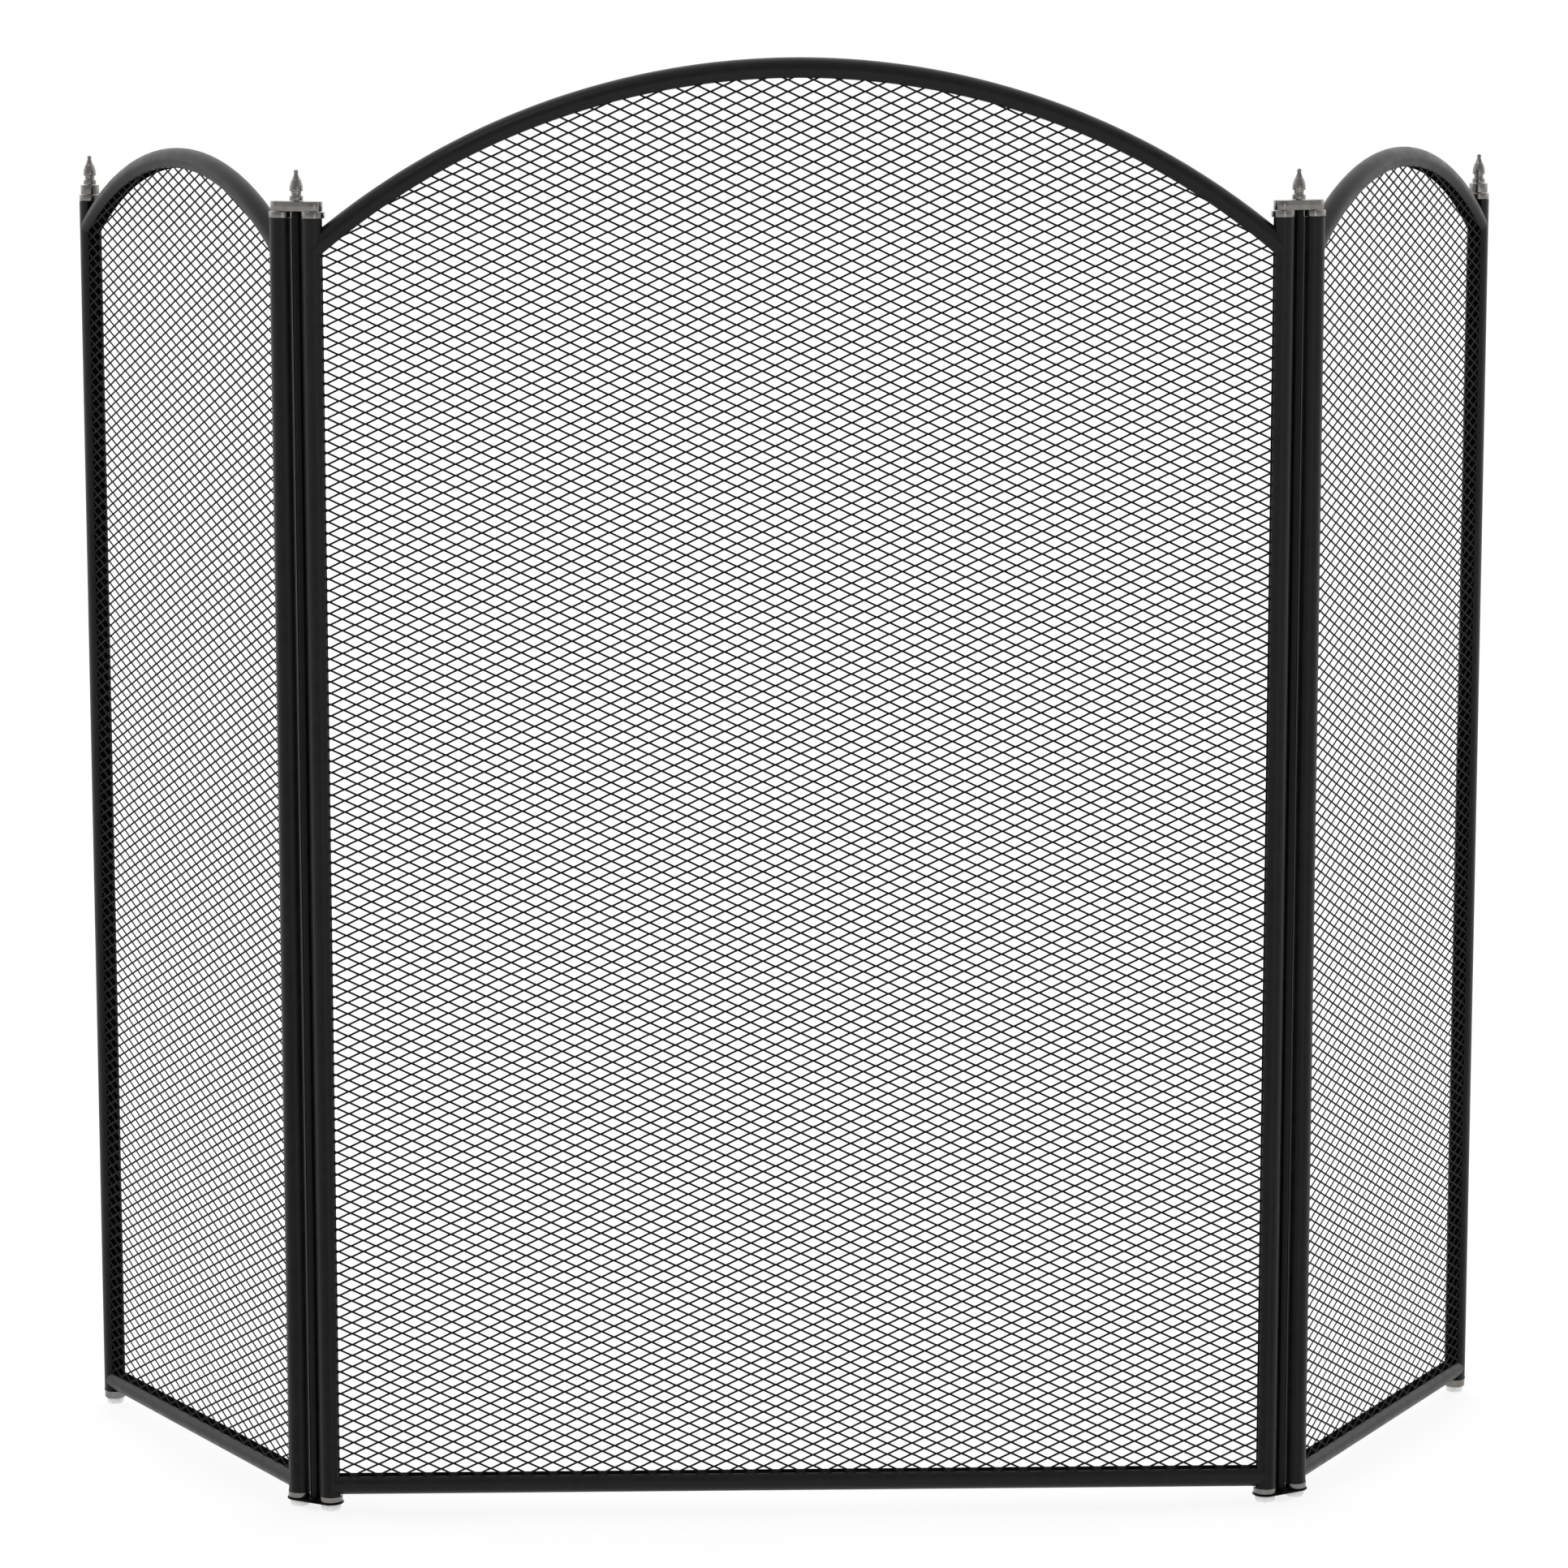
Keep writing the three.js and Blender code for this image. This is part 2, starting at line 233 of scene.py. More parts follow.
def grey(value, warmth=0.0):
    return (value * (1 + warmth), value, value * (1 - warmth), 1)


def painted_metal(name, dark, light, rough_low, rough_high, sheen):
    """Powder coat: a fine orange-peel surface with a slight mottle in colour and gloss."""
    material, nodes, links, shader = new_material(name)
    mottle = add_noise(nodes, links, scale=140, detail=4)
    peel = add_noise(nodes, links, scale=1500, detail=2)
    links.new(add_ramp(nodes, links, mottle, dark, light), shader.inputs["Base Color"])
    links.new(add_range(nodes, links, mottle, rough_low, rough_high), shader.inputs["Roughness"])
    shader.inputs["Specular IOR Level"].default_value = sheen
    add_bump(nodes, links, peel, shader, strength=0.12, distance=0.1 * MM)
    return material


def pewter_plate():
    """Satin pewter plate, with darker patches at random and fine turning marks."""
    material, nodes, links, shader = new_material("pewter_plate")
    patches = add_noise(nodes, links, scale=260, detail=5)
    marks = add_noise(nodes, links, scale=300, detail=3, stretch=(1, 1, 9))
    colour = add_ramp(nodes, links, patches, grey(0.165, 0.055), grey(0.205, 0.055))
    links.new(colour, shader.inputs["Base Color"])
    links.new(add_range(nodes, links, marks, 0.14, 0.24), shader.inputs["Roughness"])
    shader.inputs["Metallic"].default_value = 1.0
    add_bump(nodes, links, marks, shader, strength=0.1, distance=0.05 * MM)
    return material


def zinc_plate():
    material, nodes, links, shader = new_material("zinc_plate")
    patches = add_noise(nodes, links, scale=400, detail=4)
    links.new(add_ramp(nodes, links, patches, grey(0.42), grey(0.58)), shader.inputs["Base Color"])
    links.new(add_range(nodes, links, patches, 0.25, 0.4), shader.inputs["Roughness"])
    shader.inputs["Metallic"].default_value = 1.0
    return material


def frosted_plastic():
    """Clear glide plastic with a frosted skin, milky where it is thick."""
    material, nodes, links, shader = new_material("frosted_plastic")
    cloud = add_noise(nodes, links, scale=220, detail=3)
    links.new(add_ramp(nodes, links, cloud, grey(0.82), grey(0.9)), shader.inputs["Base Color"])
    links.new(add_range(nodes, links, cloud, 0.22, 0.38), shader.inputs["Roughness"])
    shader.inputs["Transmission Weight"].default_value = 0.15
    shader.inputs["IOR"].default_value = 1.49
    shader.inputs["Subsurface Weight"].default_value = 0.3
    shader.inputs["Subsurface Radius"].default_value = (2 * MM, 2 * MM, 2 * MM)
    return material


FINISHES = {
    "frame_paint": painted_metal("graphite_paint", grey(0.005), grey(0.0072), 0.3, 0.42, sheen=0.18),
    "mesh_paint": painted_metal("mesh_paint", grey(0.008), grey(0.014), 0.5, 0.65, sheen=0.03),
    "black_paint": painted_metal("black_paint", grey(0.002), grey(0.004), 0.3, 0.45, sheen=0.12),
    "pewter": pewter_plate(),
    "zinc_plate": zinc_plate(),
    "clear_plastic": frosted_plastic(),
}
# Painted shade: the tubes' flattened side is darker and has no sheen, standing in for the shade the mesh
# casts there.
FLAT_SIDE_PAINTED_SHADE = painted_metal("inner_paint", grey(0.002), grey(0.004), 0.6, 0.75, sheen=0.0)
NODE_SLOT = {s["node"]: s["material_slot"] for s in frame["record"]["subparts"]}
NODE_BODY = {n: b for b, names in frame["record"]["behaviour"]["bodies"].items() for n in names}


# ---- Mesh building ----

def link_piece(name, mesh, node):
    """A piece that stands for a CAD node, with that node's body and finish."""
    piece = bpy.data.objects.new(name, mesh)
    bpy.context.scene.collection.objects.link(piece)
    mesh.materials.append(FINISHES[NODE_SLOT[node]])
    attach(piece, NODE_BODY[node])
    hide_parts(node)
    return piece


def solid_mesh(name, vertices, faces):
    """A closed mesh with its faces pointing out."""
    mesh = bpy.data.meshes.new(name)
    mesh.from_pydata([tuple(v) for v in vertices], [], faces)
    work = bmesh.new()
    work.from_mesh(mesh)
    bmesh.ops.recalc_face_normals(work, faces=work.faces)
    work.to_mesh(mesh)
    work.free()
    return mesh


def smooth(mesh, angle=SMOOTH_ANGLE):
    mesh.shade_smooth()
    mesh.set_sharp_from_angle(angle=math.radians(angle))


def add_piece(name, vertices, faces, node, smooth_angle=SMOOTH_ANGLE):
    mesh = solid_mesh(name, vertices, faces)
    smooth(mesh, smooth_angle)
    return link_piece(name, mesh, node)


def ring_faces(rings, count):
    """Quads between successive rings of count points, and a cap on each end."""
    faces = []
    for r in range(rings - 1):
        for i in range(count):
            j = (i + 1) % count
            faces.append((r * count + i, r * count + j, (r + 1) * count + j, (r + 1) * count + i))
    faces.append(tuple(reversed(range(count))))
    faces.append(tuple((rings - 1) * count + i for i in range(count)))
    return faces


def tube_section():
    """Points of the tube's outline as (along the panel's depth, towards the mesh)."""
    half_opening = math.acos(TUBE_FLAT / TUBE_RADIUS)
    start = math.pi / 2 + half_opening
    sweep = 2 * math.pi - 2 * half_opening
    trim = TUBE_CORNER / TUBE_RADIUS
    points = []
    for i in range(TUBE_SEGMENTS + 1):
        angle = start + trim + (sweep - 2 * trim) * i / TUBE_SEGMENTS
        points.append((TUBE_RADIUS * math.cos(angle), TUBE_RADIUS * math.sin(angle)))
    half_flat = TUBE_RADIUS * math.sin(half_opening)
    flat_end = half_flat - TUBE_CORNER
    corner_side = half_flat - 0.25 * TUBE_CORNER
    corner_top = TUBE_FLAT - 0.12 * TUBE_CORNER
    points += [(corner_side, corner_top), (flat_end, TUBE_FLAT)]
    points += [(-flat_end, TUBE_FLAT), (-corner_side, corner_top)]
    return points


def swept_tube(name, node, stations):
    """A tube through stations of (place, depth direction, direction towards the mesh).
    The flattened side has a darker paint without sheen: painted shade where the mesh shades the tube."""
    section = tube_section()
    count = len(section)
    vertices = [place + depth * a + inward * b for place, depth, inward in stations for a, b in section]
    tube = add_piece(name, vertices, ring_faces(len(stations), count), node)
    # The flat faces get the darker paint, painted shade.
    tube.data.materials.append(FLAT_SIDE_PAINTED_SHADE)
    for r in range(len(stations) - 1):
        for i in range(TUBE_SEGMENTS + 1, count - 1):
            tube.data.polygons[r * count + i].material_index = 1


def rounded(corners):
    """Rounds the corners of an outline given as (radius, height, length taken off both sides)."""
    points = []
    for i, (radius, height, trim) in enumerate(corners):
        corner = Vector((radius, height))
        if trim == 0:
            points.append(corner)
            continue
        before = Vector(corners[i - 1][:2])
        after = Vector(corners[(i + 1) % len(corners)][:2])
        start = corner + (before - corner).normalized() * trim
        end = corner + (after - corner).normalized() * trim
        for k in range(CORNER_STEPS + 1):
            t = k / CORNER_STEPS
            points.append(start * (1 - t) ** 2 + corner * 2 * t * (1 - t) + end * t ** 2)
    return [(point.x, point.y) for point in points]


def turned_mesh(name, axis, profile, bored):
    """Turned about a vertical axis from radius and height pairs in mm. A bored piece's profile is a loop,
    and a solid one's ends are closed flat."""
    vertices = []
    for radius, height in profile:
        for i in range(TURNED_SIDES):
            angle = 2 * math.pi * i / TURNED_SIDES
            x = axis.x + radius * MM * math.cos(angle)
            y = axis.y + radius * MM * math.sin(angle)
            vertices.append((x, y, height * MM))
    faces = ring_faces(len(profile), TURNED_SIDES)
    if bored:
        faces = faces[:-2]
        last = (len(profile) - 1) * TURNED_SIDES
        for i in range(TURNED_SIDES):
            j = (i + 1) % TURNED_SIDES
            faces.append((last + i, last + j, j, i))
    return solid_mesh(name, vertices, faces)


def add_turned(name, node, axis, corners, bored=False):
    mesh = turned_mesh(name, axis, rounded(corners), bored)
    smooth(mesh)
    return link_piece(name, mesh, node)


def slab_outline(start, end, radius):
    """A slab's outline with a round end about each of two places."""
    along = (end - start).normalized()
    side = UP.cross(along)
    points = []
    for place, first in ((start, math.pi / 2), (end, -math.pi / 2)):
        for k in range(TURNED_SIDES // 2 + 1):
            angle = first + 2 * math.pi * k / TURNED_SIDES
            points.append(place + (along * math.cos(angle) + side * math.sin(angle)) * radius)
    return points


def add_slab(name, node, start, end, radius, bottom, top, edge, holes):
    """A slab with round ends and rounded edges. Holes are (place, bottom, top), and heights are in mm."""
    part_way = 0.3 * edge
    steps = [(bottom, edge), (bottom + part_way, part_way), (bottom + edge, 0),
             (top - edge, 0), (top - part_way, part_way), (top, edge)]
    vertices = []
    for height, inset in steps:
        for point in slab_outline(start, end, (radius - inset) * MM):
            vertices.append((point.x, point.y, height * MM))
    count = len(vertices) // len(steps)
    slab = bpy.data.objects.new(name, solid_mesh(name, vertices, ring_faces(len(steps), count)))
    bpy.context.scene.collection.objects.link(slab)
    drills = []
    for place, low, high in holes:
        profile = [(HOLE_RADIUS, low), (HOLE_RADIUS, high)]
        drill = bpy.data.objects.new("drill", turned_mesh("drill", place, profile, bored=False))
        bpy.context.scene.collection.objects.link(drill)
        cut = slab.modifiers.new("cut", "BOOLEAN")
        cut.operation = "DIFFERENCE"
        cut.solver = "EXACT"
        cut.object = drill
        drills.append(drill)
    drilled = slab.evaluated_get(bpy.context.evaluated_depsgraph_get())
    mesh = bpy.data.meshes.new_from_object(drilled)
    for scrap in drills + [slab]:
        bpy.data.objects.remove(scrap)
    mesh.name = name
    smooth(mesh)
    return link_piece(name, mesh, node)


# ---- Panels ----

class Panel:
    """A panel's plane, from the axis of its left post to the axis of its right post."""

    def __init__(self, name, left, right, arch_radius):
        self.name = name
        self.width = (right - left).xy.length
        self.across = Vector((right - left).xy).normalized().to_3d()
        self.depth = UP.cross(self.across)
        self.middle = ((left + right) / 2).xy.to_3d()
        self.arch_radius = arch_radius
        self.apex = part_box(f"{name}_arch_tube")[1].z - TUBE_RADIUS
        self.arch_centre = self.apex - arch_radius
        self.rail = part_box(f"{name}_bottom_rail")[0].z + TUBE_RADIUS

    def at(self, x, y, z):
        return self.middle + self.across * x + self.depth * y + UP * z


centre = Panel("centre", joint_place["left_link_pivot"], joint_place["right_link_pivot"], CENTRE_ARCH_RADIUS)
left_wing = Panel(
    "left_wing", mount_place["foot_left_wing_outer"], joint_place["left_wing_pivot"], WING_ARCH_RADIUS
)
right_wing = Panel(
    "right_wing", joint_place["right_wing_pivot"], mount_place["foot_right_wing_outer"], WING_ARCH_RADIUS
)


def make_post(panel, node, side):
    low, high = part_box(node)
    steps = [(low.z, POST_FLARE), (low.z + FLARE_STRAIGHT, POST_FLARE),
             (low.z + FLARE_LENGTH, 1), (high.z, 1)]
    stations = []
    for z, flare in steps:
        place = panel.at(side * panel.width / 2, 0, z)
        stations.append((place, panel.depth * flare, -side * panel.across * flare))
    swept_tube(f"{node}_tube", node, stations)


def make_rail(panel):
    node = f"{panel.name}_bottom_rail"
    stations = [(panel.at(x, 0, panel.rail), panel.depth, UP) for x in (-panel.width / 2, panel.width / 2)]
    swept_tube(f"{node}_tube", node, stations)


def make_arch(panel):
    node = f"{panel.name}_arch_tube"
    half_angle = math.asin(panel.width / 2 / panel.arch_radius)
    stations = []
    for i in range(ARCH_STEPS + 1):
        angle = half_angle * (2 * i / ARCH_STEPS - 1)
        outward = panel.across * math.sin(angle) + UP * math.cos(angle)
        place = panel.at(0, 0, panel.arch_centre) + outward * panel.arch_radius
        stations.append((place, panel.depth, -outward))
    swept_tube(f"{node}_swept", node, stations)


def make_mesh(panel, levels):
    """Flattened expanded metal: each bond joins four strands. One piece runs from each level to the next."""
    half_width = panel.width / 2 - TUBE_FLAT + MESH_EMBED
    bottom = panel.rail + TUBE_FLAT - MESH_EMBED
    arch = panel.arch_radius - TUBE_FLAT + MESH_EMBED

    def inside(x, z):
        under_arch = z < panel.arch_centre or math.hypot(x, z - panel.arch_centre) < arch
        return abs(x) < half_width and z > bottom and under_arch

    # A bond's outline, from its upper left. Its back has the same corners, numbered on from these.
    b, c, h = BOND_HALF_LENGTH, CROTCH, BOND_HALF_HEIGHT
    bond = [(-b, h), (b, h), (c, 0), (b, -h), (-b, -h), (-c, 0)]
    UPPER_LEFT, UPPER_RIGHT, RIGHT, LOWER_RIGHT, LOWER_LEFT, LEFT = range(6)
    back = len(bond)

    def corners(x, z):
        """The bond's six corners on the front, then on the back, in the panel's own directions."""
        front = [(x + dx, -STRAND_THICKNESS / 2 - MESH_OFFSET, z + dz) for dx, dz in bond]
        return front + [(px, py + STRAND_THICKNESS, pz) for px, py, pz in front]

    # Each strand: the step to the next bond, this bond's edge and the next bond's matching edge.
    strands = [
        ((1, 1), (UPPER_RIGHT, RIGHT), (LEFT, LOWER_LEFT)),
        ((1, -1), (RIGHT, LOWER_RIGHT), (UPPER_LEFT, LEFT)),
        ((-1, 1), (LEFT, UPPER_LEFT), (LOWER_RIGHT, RIGHT)),
        ((-1, -1), (LOWER_LEFT, LEFT), (RIGHT, UPPER_RIGHT)),
    ]

    phase_x, phase_z = MESH_PHASE[panel.name]
    columns = range(math.floor((-half_width - phase_x) / DIAMOND_HALF_WIDTH) - 1,
                    math.ceil((half_width - phase_x) / DIAMOND_HALF_WIDTH) + 2)
    rows = range(math.floor((bottom - phase_z) / DIAMOND_HALF_HEIGHT) - 1,
                 math.ceil((panel.apex - phase_z) / DIAMOND_HALF_HEIGHT) + 2)
    spots = {}
    for i in columns:
        for j in rows:
            if (i + j) % 2 == 0:
                spots[i, j] = (phase_x + i * DIAMOND_HALF_WIDTH, phase_z + j * DIAMOND_HALF_HEIGHT)
    whole = {key for key, spot in spots.items() if inside(*spot)}

    def share_inside(start, end):
        """How much of the way from start to end is inside the panel's outline."""
        low, high = 0.0, 1.0
        for _ in range(HALVINGS):
            middle = (low + high) / 2
            at = (start[0] + (end[0] - start[0]) * middle, start[1] + (end[1] - start[1]) * middle)
            low, high = (middle, high) if inside(*at) else (low, middle)
        return max(low, SHORTEST_STUB)

    node = f"{panel.name}_mesh"
    for number, (low, high) in enumerate(zip(levels, levels[1:]), start=1):
        members = sorted(key for key in whole if low <= spots[key][1] < high)
        base = {key: 2 * back * k for k, key in enumerate(members)}
        points = [corner for key in members for corner in corners(*spots[key])]
        faces = []
        for (i, j), first in base.items():
            for ring in ((UPPER_LEFT, LEFT, RIGHT, UPPER_RIGHT), (LEFT, LOWER_LEFT, LOWER_RIGHT, RIGHT)):
                faces.append([first + k for k in ring])
                faces.append([first + back + k for k in reversed(ring)])
            for a, b in ((UPPER_LEFT, UPPER_RIGHT), (LOWER_RIGHT, LOWER_LEFT)):
                faces.append([first + a, first + b, first + back + b, first + back + a])
            for (di, dj), (edge_a, edge_b), (far_a, far_b) in strands:
                there = (i + di, j + dj)
                a, b = first + edge_a, first + edge_b
                if there in base and di < 0:
                    # The bond on the left has built this strand.
                    continue
                if there in whole and there not in base and dj < 0:
                    # The strand belongs to the piece below, so the bond is closed here.
                    faces.append([a, b, b + back, a + back])
                    continue
                if there in base:
                    c, d = base[there] + far_b, base[there] + far_a
                    c_back, d_back = c + back, d + back
                else:
                    share = 1.0 if there in whole else share_inside(spots[i, j], spots[there])
                    target = corners(*spots[there])
                    d, c, d_back, c_back = range(len(points), len(points) + 4)
                    ends = ((a, far_a), (b, far_b), (a + back, far_a + back), (b + back, far_b + back))
                    for near, far in ends:
                        p, q = points[near], target[far]
                        points.append([p[k] + (q[k] - p[k]) * share for k in range(3)])
                    faces.append([d, c, c_back, d_back])
                faces.append([a, b, c, d])
                faces.append([a + back, d_back, c_back, b + back])
                faces.append([a, d, d_back, a + back])
                faces.append([b, b + back, c_back, c])
        vertices = [panel.at(*point) for point in points]
        add_piece(f"{node}_strands_{number}", vertices, faces, node, STRAND_SMOOTH_ANGLE)


for panel, post_names, levels in (
    (centre, ("centre_left_post", "centre_right_post"), (0, CENTRE_MESH_SPLIT, TOP_LEVEL)),
    (left_wing, ("left_wing_outer_post", "left_wing_inner_post"), (0, TOP_LEVEL)),
    (right_wing, ("right_wing_inner_post", "right_wing_outer_post"), (0, TOP_LEVEL)),
):
    make_post(panel, post_names[0], -1)
    make_post(panel, post_names[1], 1)
    make_rail(panel)
    make_arch(panel)
    make_mesh(panel, levels)


# ---- Fittings in the post ends ----

def add_top_collar(node, axis, radius):
    corners = [
        (HOLE_RADIUS, COLLAR_PLUG_BOTTOM, 0),
        (PLUG_RADIUS, COLLAR_PLUG_BOTTOM, SOFT_EDGE),
        (PLUG_RADIUS, COLLAR_BOTTOM, 0),
        (radius, COLLAR_BOTTOM, FINE_EDGE),
        (radius, COLLAR_TOP, SOFT_EDGE),
        (HOLE_RADIUS, COLLAR_TOP, 0),
    ]
    add_turned(f"{node}_turned", node, axis, corners, bored=True)


def add_bottom_ferrule(node, axis, radius, bottom):
    corners = [
        (HOLE_RADIUS, bottom, 0),
        (radius, bottom, FERRULE_EDGE),
        (radius, FERRULE_TOP, FINE_EDGE),
        (PLUG_RADIUS, FERRULE_TOP, 0),
        (PLUG_RADIUS, FERRULE_PLUG_TOP, SOFT_EDGE),
        (HOLE_RADIUS, FERRULE_PLUG_TOP, 0),
    ]
    add_turned(f"{node}_turned", node, axis, corners, bored=True)


def add_foot_glide(node, axis, radius, top):
    corners = [
        (CORE_RADIUS, 0, 0),
        (radius, 0, GLIDE_EDGE),
        (radius, top, SOFT_EDGE),
        (SHANK_RADIUS, top, 0),
        (SHANK_RADIUS, GLIDE_STEM_TOP, SHANK_EDGE),
        (CORE_RADIUS, GLIDE_STEM_TOP, 0),
    ]
    add_turned(f"{node}_moulded", node, axis, corners)


def add_finial(node, axis):
    """A turned bud on a round foot, with its stud."""
    stud = [
        (CORE_RADIUS, FINIAL_BASE - STUD_LENGTH, 0),
        (SHANK_RADIUS, FINIAL_BASE - STUD_LENGTH, SHANK_EDGE),
        (SHANK_RADIUS, FINIAL_BASE, 0),
    ]
    bud = [(radius, FINIAL_BASE + height, trim) for radius, height, trim in FINIAL_SHAPE]
    add_turned(f"{node}_turned", node, axis, stud + bud)


def add_pivot_pin(node, axis):
    corners = [
        (CORE_RADIUS, PIN_BOTTOM, 0),
        (SHANK_RADIUS, PIN_BOTTOM, SHANK_EDGE),
        (SHANK_RADIUS, PIN_TOP, SHANK_EDGE),
        (CORE_RADIUS, PIN_TOP, 0),
    ]
    add_turned(f"{node}_turned", node, axis, corners)


def add_spacer(node, axis):
    corners = [
        (HOLE_RADIUS, BLOCK_BOTTOM, 0),
        (SPACER_RADIUS, BLOCK_BOTTOM, SHANK_EDGE),
        (SPACER_RADIUS, BLOCK_TOP, SHANK_EDGE),
        (HOLE_RADIUS, BLOCK_TOP, 0),
    ]
    add_turned(f"{node}_turned", node, axis, corners, bored=True)


def add_pivot_fittings(post, axis):
    add_top_collar(f"{post}_top_collar", axis, COLLAR_RADIUS)
    add_pivot_pin(f"{post}_pivot_pin", axis)
    add_bottom_ferrule(f"{post}_bottom_ferrule", axis, COLLAR_RADIUS, FERRULE_BOTTOM)
    add_foot_glide(f"{post}_foot_glide", axis, GLIDE_RADIUS, GLIDE_TOP)


def add_outer_fittings(post, axis):
    add_top_collar(f"{post}_top_collar", axis, OUTER_COLLAR_RADIUS)
    add_spacer(f"{post}_spacer", axis)
    add_finial(f"{post}_finial", axis)
    add_bottom_ferrule(f"{post}_bottom_ferrule", axis, OUTER_COLLAR_RADIUS, OUTER_FERRULE_BOTTOM)
    add_foot_glide(f"{post}_foot_glide", axis, OUTER_GLIDE_RADIUS, OUTER_GLIDE_TOP)


def add_hinge_block(node, start, middle, end):
    low, high = BLOCK_DRILL
    holes = [(start, low, SOCKET_TOP), (middle, low, high), (end, low, SOCKET_TOP)]
    add_slab(f"{node}_milled", node, start, end, BLOCK_RADIUS, BLOCK_BOTTOM, BLOCK_TOP, BLOCK_EDGE, holes)


def add_hinge_plate(node, start, middle, end):
    holes = [(place, *PLATE_DRILL) for place in (start, middle, end)]
    add_slab(f"{node}_stamped", node, start, end, PLATE_RADIUS, PLATE_BOTTOM, PLATE_TOP, PLATE_EDGE, holes)


def add_hinge_rod(node, axis):
    corners = [
        (CORE_RADIUS, ROD_BOTTOM + ROD_HOLE_DEPTH, 0),
        (HOLE_RADIUS, ROD_BOTTOM + ROD_HOLE_DEPTH, 0),
        (HOLE_RADIUS, ROD_BOTTOM, 0),
        (ROD_RADIUS, ROD_BOTTOM, SHANK_EDGE),
        (ROD_RADIUS, ROD_TOP, SHANK_EDGE),
        (HOLE_RADIUS, ROD_TOP, 0),
        (HOLE_RADIUS, ROD_TOP - ROD_HOLE_DEPTH, 0),
        (CORE_RADIUS, ROD_TOP - ROD_HOLE_DEPTH, 0),
    ]
    add_turned(f"{node}_drawn", node, axis, corners)


def add_hinge_screw(node, axis):
    corners = [
        (CORE_RADIUS, SCREW_BOTTOM, 0),
        (SCREW_RADIUS, SCREW_BOTTOM, SHANK_EDGE),
        (SCREW_RADIUS, SCREW_HEAD_TOP, 0),
        (SHANK_RADIUS, SCREW_HEAD_TOP, 0),
        (SHANK_RADIUS, SCREW_TIP, SHANK_EDGE),
        (CORE_RADIUS, SCREW_TIP, 0),
    ]
    add_turned(f"{node}_turned", node, axis, corners)


def add_hinge(name, post_axis, wing_axis):
    """The link between a centre post and a wing post."""
    start, end = post_axis.xy.to_3d(), wing_axis.xy.to_3d()
    middle = (start + end) / 2
    add_hinge_block(f"{name}_hinge_block", start, middle, end)
    add_hinge_plate(f"{name}_hinge_plate", start, middle, end)
    add_hinge_rod(f"{name}_hinge_rod", middle)
    add_finial(f"{name}_hinge_finial", middle)
    add_hinge_screw(f"{name}_hinge_screw", middle)


for side in ("left", "right"):
    centre_axis = joint_place[f"{side}_link_pivot"]
    wing_axis = joint_place[f"{side}_wing_pivot"]
    add_pivot_fittings(f"centre_{side}", centre_axis)
    add_pivot_fittings(f"{side}_wing_inner", wing_axis)
    add_outer_fittings(f"{side}_wing_outer", mount_place[f"foot_{side}_wing_outer"])
    add_hinge(side, centre_axis, wing_axis)


# ---- Floor, light and camera ----

def add_floor():
    bpy.ops.mesh.primitive_plane_add(size=FLOOR_SIZE, location=(0, 0, 0))
    floor = bpy.context.object
    floor.name = "floor"
    material, nodes, links, shader = new_material("studio_floor")
    soft = add_noise(nodes, links, scale=3, detail=2)
    links.new(add_ramp(nodes, links, soft, grey(0.19), grey(0.21)), shader.inputs["Base Color"])
    shader.inputs["Roughness"].default_value = 0.9
    shader.inputs["Emission Color"].default_value = grey(1)
    shader.inputs["Emission Strength"].default_value = FLOOR_GLOW
    floor.data.materials.append(material)


def add_area_light(name, place, aim, size, power):
    light = bpy.data.lights.new(name, "AREA")
    light.shape = "RECTANGLE"
    light.size, light.size_y = size
    light.energy = power
    lamp = bpy.data.objects.new(name, light)
    lamp.location = place
    lamp.rotation_euler = (Vector(aim) - Vector(place)).to_track_quat("-Z", "Y").to_euler()
    bpy.context.scene.collection.objects.link(lamp)


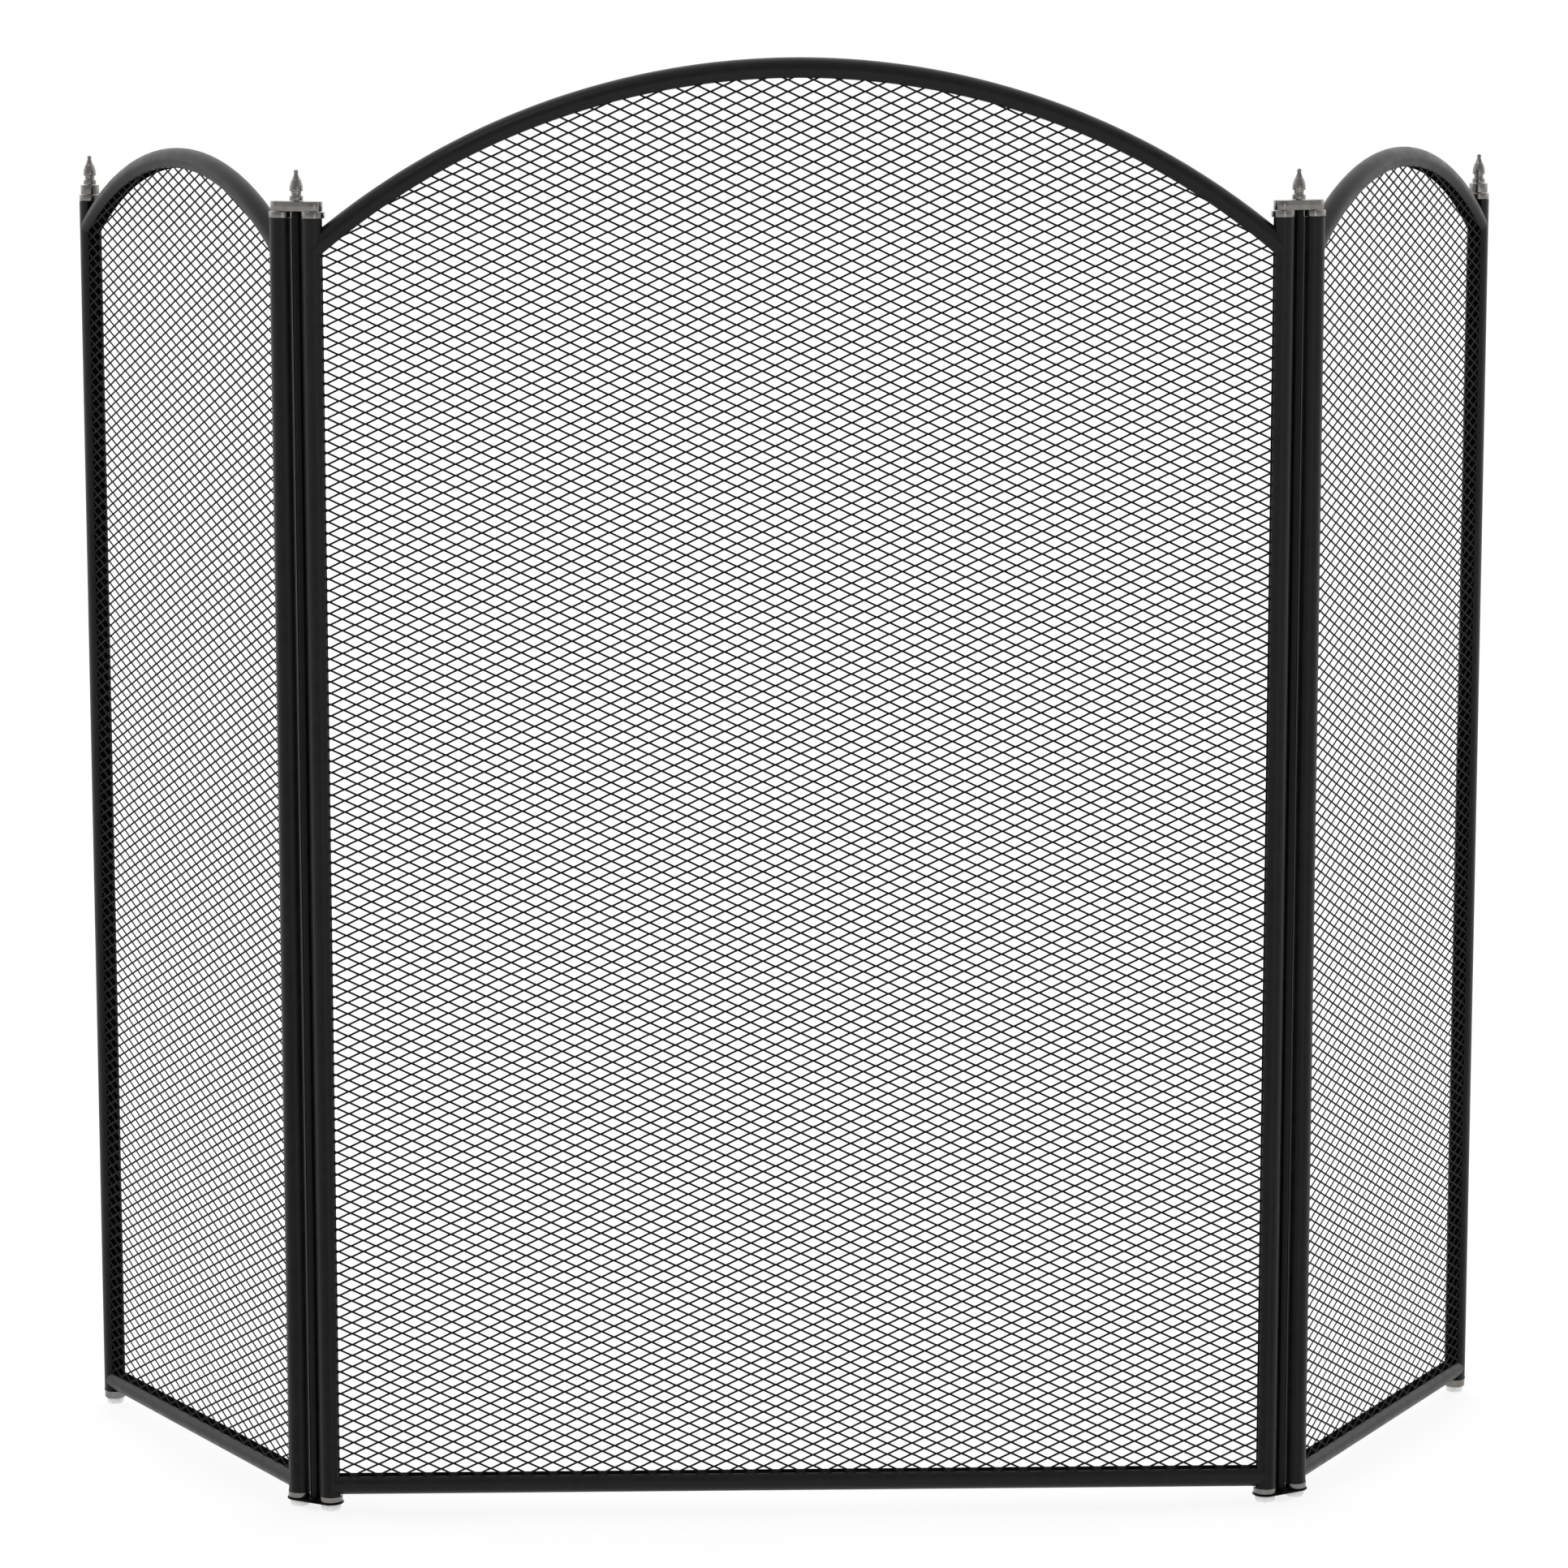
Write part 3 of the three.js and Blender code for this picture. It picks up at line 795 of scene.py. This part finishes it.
def add_world():
    """White studio walls, lit more behind and beside the screen than in front of it."""
    world = bpy.data.worlds.new("studio")
    bpy.context.scene.world = world
    world.use_nodes = True
    nodes, links = world.node_tree.nodes, world.node_tree.links
    place = nodes.new("ShaderNodeTexCoord")
    split = nodes.new("ShaderNodeSeparateXYZ")
    links.new(place.outputs["Generated"], split.inputs["Vector"])
    spread = nodes.new("ShaderNodeMapRange")
    spread.inputs["From Min"].default_value = -1
    spread.inputs["From Max"].default_value = 1
    links.new(split.outputs["Y"], spread.inputs["Value"])
    ramp = nodes.new("ShaderNodeValToRGB")
    elements = ramp.color_ramp.elements
    for position, _ in WALL_LIGHT[1:-1]:
        elements.new(position)
    for element, (position, level) in zip(elements, WALL_LIGHT):
        element.position = position
        element.color = grey(level / WALL_BRIGHTEST)
    links.new(spread.outputs["Result"], ramp.inputs["Fac"])
    walls = nodes["Background"]
    links.new(ramp.outputs["Color"], walls.inputs["Color"])
    walls.inputs["Strength"].default_value = WALL_BRIGHTEST
    backdrop = nodes.new("ShaderNodeBackground")
    backdrop.inputs["Color"].default_value = grey(1)
    path = nodes.new("ShaderNodeLightPath")
    mix = nodes.new("ShaderNodeMixShader")
    links.new(path.outputs["Is Camera Ray"], mix.inputs["Fac"])
    links.new(walls.outputs["Background"], mix.inputs[1])
    links.new(backdrop.outputs["Background"], mix.inputs[2])
    links.new(mix.outputs["Shader"], nodes["World Output"].inputs["Surface"])


def add_camera():
    data = bpy.data.cameras.new("camera")
    data.sensor_width = CAMERA_SENSOR
    data.lens = CAMERA_LENS
    data.shift_x, data.shift_y = CAMERA_SHIFT
    data.clip_end = CAMERA_CLIP
    camera = bpy.data.objects.new("camera", data)
    camera.location = CAMERA_PLACE
    camera.rotation_euler = (math.pi / 2 - CAMERA_PITCH, 0, -CAMERA_YAW)
    bpy.context.scene.collection.objects.link(camera)
    bpy.context.scene.camera = camera


add_floor()
add_world()
add_area_light("key", place=(-1.22, -1.74, 2.86), aim=(0, -0.1, 0.7), size=(0.5, 0.5), power=6)
add_area_light("strip", place=(0.70, -2.6, 0.6), aim=(0, -0.1, 0.6), size=(0.05, 1.2), power=2.4)
add_camera()
bpy.context.scene.view_settings.view_transform = "Standard"

bpy.context.view_layer.update()
